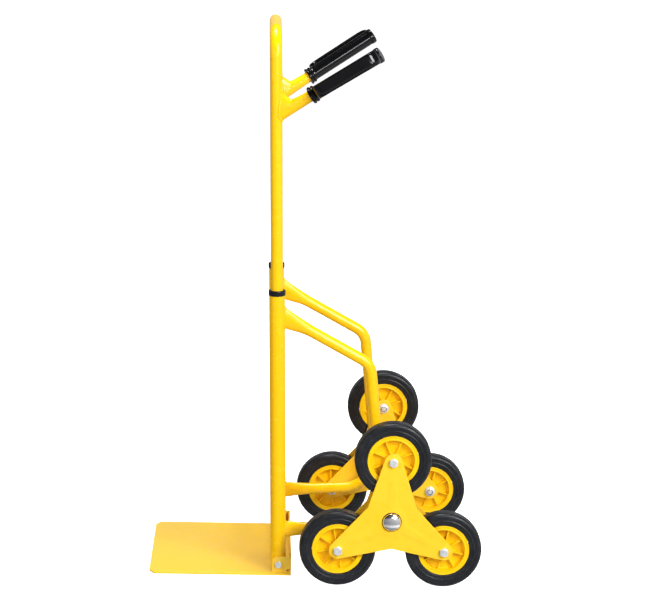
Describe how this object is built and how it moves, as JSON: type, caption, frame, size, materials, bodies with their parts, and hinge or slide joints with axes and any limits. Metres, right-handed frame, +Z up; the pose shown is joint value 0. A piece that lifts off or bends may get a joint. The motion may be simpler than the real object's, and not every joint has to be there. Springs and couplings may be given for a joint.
{
  "type": "stair-climbing hand truck",
  "caption": "Folding hand truck with a telescoping loop handle, angled grips, a hinged toe plate and star-shaped wheel clusters that roll up stairs.",
  "frame": {"origin": "On the ground, under the centre of the whole object's box.", "axes": "+Z up; -X towards the toe plate, which is the front, and +X towards the wheels; -Y is the left side of a person who stands behind the truck and faces the toe plate."},
  "size_m": [0.675, 0.4932, 1.1218],
  "materials": {
    "frame_paint": "smooth semi-gloss yellow powder coat",
    "toe_plate_paint": "satin yellow powder coat",
    "rim_plastic": "moulded yellow plastic",
    "tyre_rubber": "solid black rubber with fine rings",
    "grip_rubber": "glossy black moulding",
    "black_plastic": "black plastic",
    "zinc_steel": "bright zinc-plated steel",
    "chrome_cap": "polished chrome"
  },
  "bodies": {
    "frame": {"axle": "zinc_steel", "axle_housing": "frame_paint", "left_axle_spacer": "zinc_steel", "left_collar": "black_plastic", "left_hinge_bolt": "zinc_steel", "left_hinge_nut": "zinc_steel", "left_hub_cap": "chrome_cap", "left_lock_housing": "zinc_steel", "left_side_tube": "frame_paint", "left_upright": "frame_paint", "lower_crossbar": "frame_paint", "middle_crossbar": "frame_paint", "right_axle_spacer": "zinc_steel", "right_collar": "black_plastic", "right_hinge_bolt": "zinc_steel", "right_hinge_nut": "zinc_steel", "right_hub_cap": "chrome_cap", "right_lock_housing": "zinc_steel", "right_side_tube": "frame_paint", "right_upright": "frame_paint", "upper_crossbar": "frame_paint"},
    "handle": {"handle_tube": "frame_paint", "left_grip_stub": "frame_paint", "right_grip_stub": "frame_paint", "left_grip": "grip_rubber", "right_grip": "grip_rubber"},
    "toe": {"toe_plate": "toe_plate_paint"},
    "left_lock": {"left_lock_knob": "black_plastic"},
    "right_lock": {"right_lock_knob": "black_plastic"},
    "left_cluster": {"left_top_bolt": "zinc_steel", "left_top_nut": "zinc_steel", "left_front_bolt": "zinc_steel", "left_front_nut": "zinc_steel", "left_rear_bolt": "zinc_steel", "left_rear_nut": "zinc_steel", "left_outer_star": "frame_paint", "left_inner_star": "frame_paint", "left_hub_sleeve": "zinc_steel"},
    "right_cluster": {"right_top_bolt": "zinc_steel", "right_top_nut": "zinc_steel", "right_front_bolt": "zinc_steel", "right_front_nut": "zinc_steel", "right_rear_bolt": "zinc_steel", "right_rear_nut": "zinc_steel", "right_outer_star": "frame_paint", "right_inner_star": "frame_paint", "right_hub_sleeve": "zinc_steel"},
    "left_top_wheel": {"left_top_rim": "rim_plastic", "left_top_tyre": "tyre_rubber"},
    "left_front_wheel": {"left_front_rim": "rim_plastic", "left_front_tyre": "tyre_rubber"},
    "left_rear_wheel": {"left_rear_rim": "rim_plastic", "left_rear_tyre": "tyre_rubber"},
    "right_top_wheel": {"right_top_rim": "rim_plastic", "right_top_tyre": "tyre_rubber"},
    "right_front_wheel": {"right_front_rim": "rim_plastic", "right_front_tyre": "tyre_rubber"},
    "right_rear_wheel": {"right_rear_rim": "rim_plastic", "right_rear_tyre": "tyre_rubber"}
  },
  "joints": [
    {"name": "handle_slide", "type": "slide", "parent": "frame", "child": "handle", "axis": [-0.0244, 0, 0.9997], "range_m": [-0.33, 0]},
    {"name": "toe_plate_fold", "type": "hinge", "parent": "frame", "child": "toe", "pos_m": [-0.07309, 0, 0.01999], "axis": [0, 1, 0], "range_deg": [0, 88.5]},
    {"name": "left_lock_pull", "type": "slide", "parent": "frame", "child": "left_lock", "axis": [0, 1, 0], "range_m": [0, 0.006], "stiffness_N_per_m": 1000},
    {"name": "left_cluster_turn", "type": "hinge", "parent": "frame", "child": "left_cluster", "pos_m": [0.1527, -0.2101, 0.13945], "axis": [0, 1, 0], "continuous": true},
    {"name": "left_top_wheel_spin", "type": "hinge", "parent": "left_cluster", "child": "left_top_wheel", "pos_m": [0.1527, -0.2101, 0.26335], "axis": [0, 1, 0], "continuous": true},
    {"name": "left_front_wheel_spin", "type": "hinge", "parent": "left_cluster", "child": "left_front_wheel", "pos_m": [0.0454, -0.2101, 0.0775], "axis": [0, 1, 0], "continuous": true},
    {"name": "left_rear_wheel_spin", "type": "hinge", "parent": "left_cluster", "child": "left_rear_wheel", "pos_m": [0.26, -0.2101, 0.0775], "axis": [0, 1, 0], "continuous": true},
    {"name": "right_lock_pull", "type": "slide", "parent": "frame", "child": "right_lock", "axis": [0, -1, 0], "range_m": [0, 0.006], "stiffness_N_per_m": 1000},
    {"name": "right_cluster_turn", "type": "hinge", "parent": "frame", "child": "right_cluster", "pos_m": [0.1527, 0.2101, 0.13945], "axis": [0, 1, 0], "continuous": true},
    {"name": "right_top_wheel_spin", "type": "hinge", "parent": "right_cluster", "child": "right_top_wheel", "pos_m": [0.1527, 0.2101, 0.26335], "axis": [0, 1, 0], "continuous": true},
    {"name": "right_front_wheel_spin", "type": "hinge", "parent": "right_cluster", "child": "right_front_wheel", "pos_m": [0.0454, 0.2101, 0.0775], "axis": [0, 1, 0], "continuous": true},
    {"name": "right_rear_wheel_spin", "type": "hinge", "parent": "right_cluster", "child": "right_rear_wheel", "pos_m": [0.26, 0.2101, 0.0775], "axis": [0, 1, 0], "continuous": true}
  ]
}
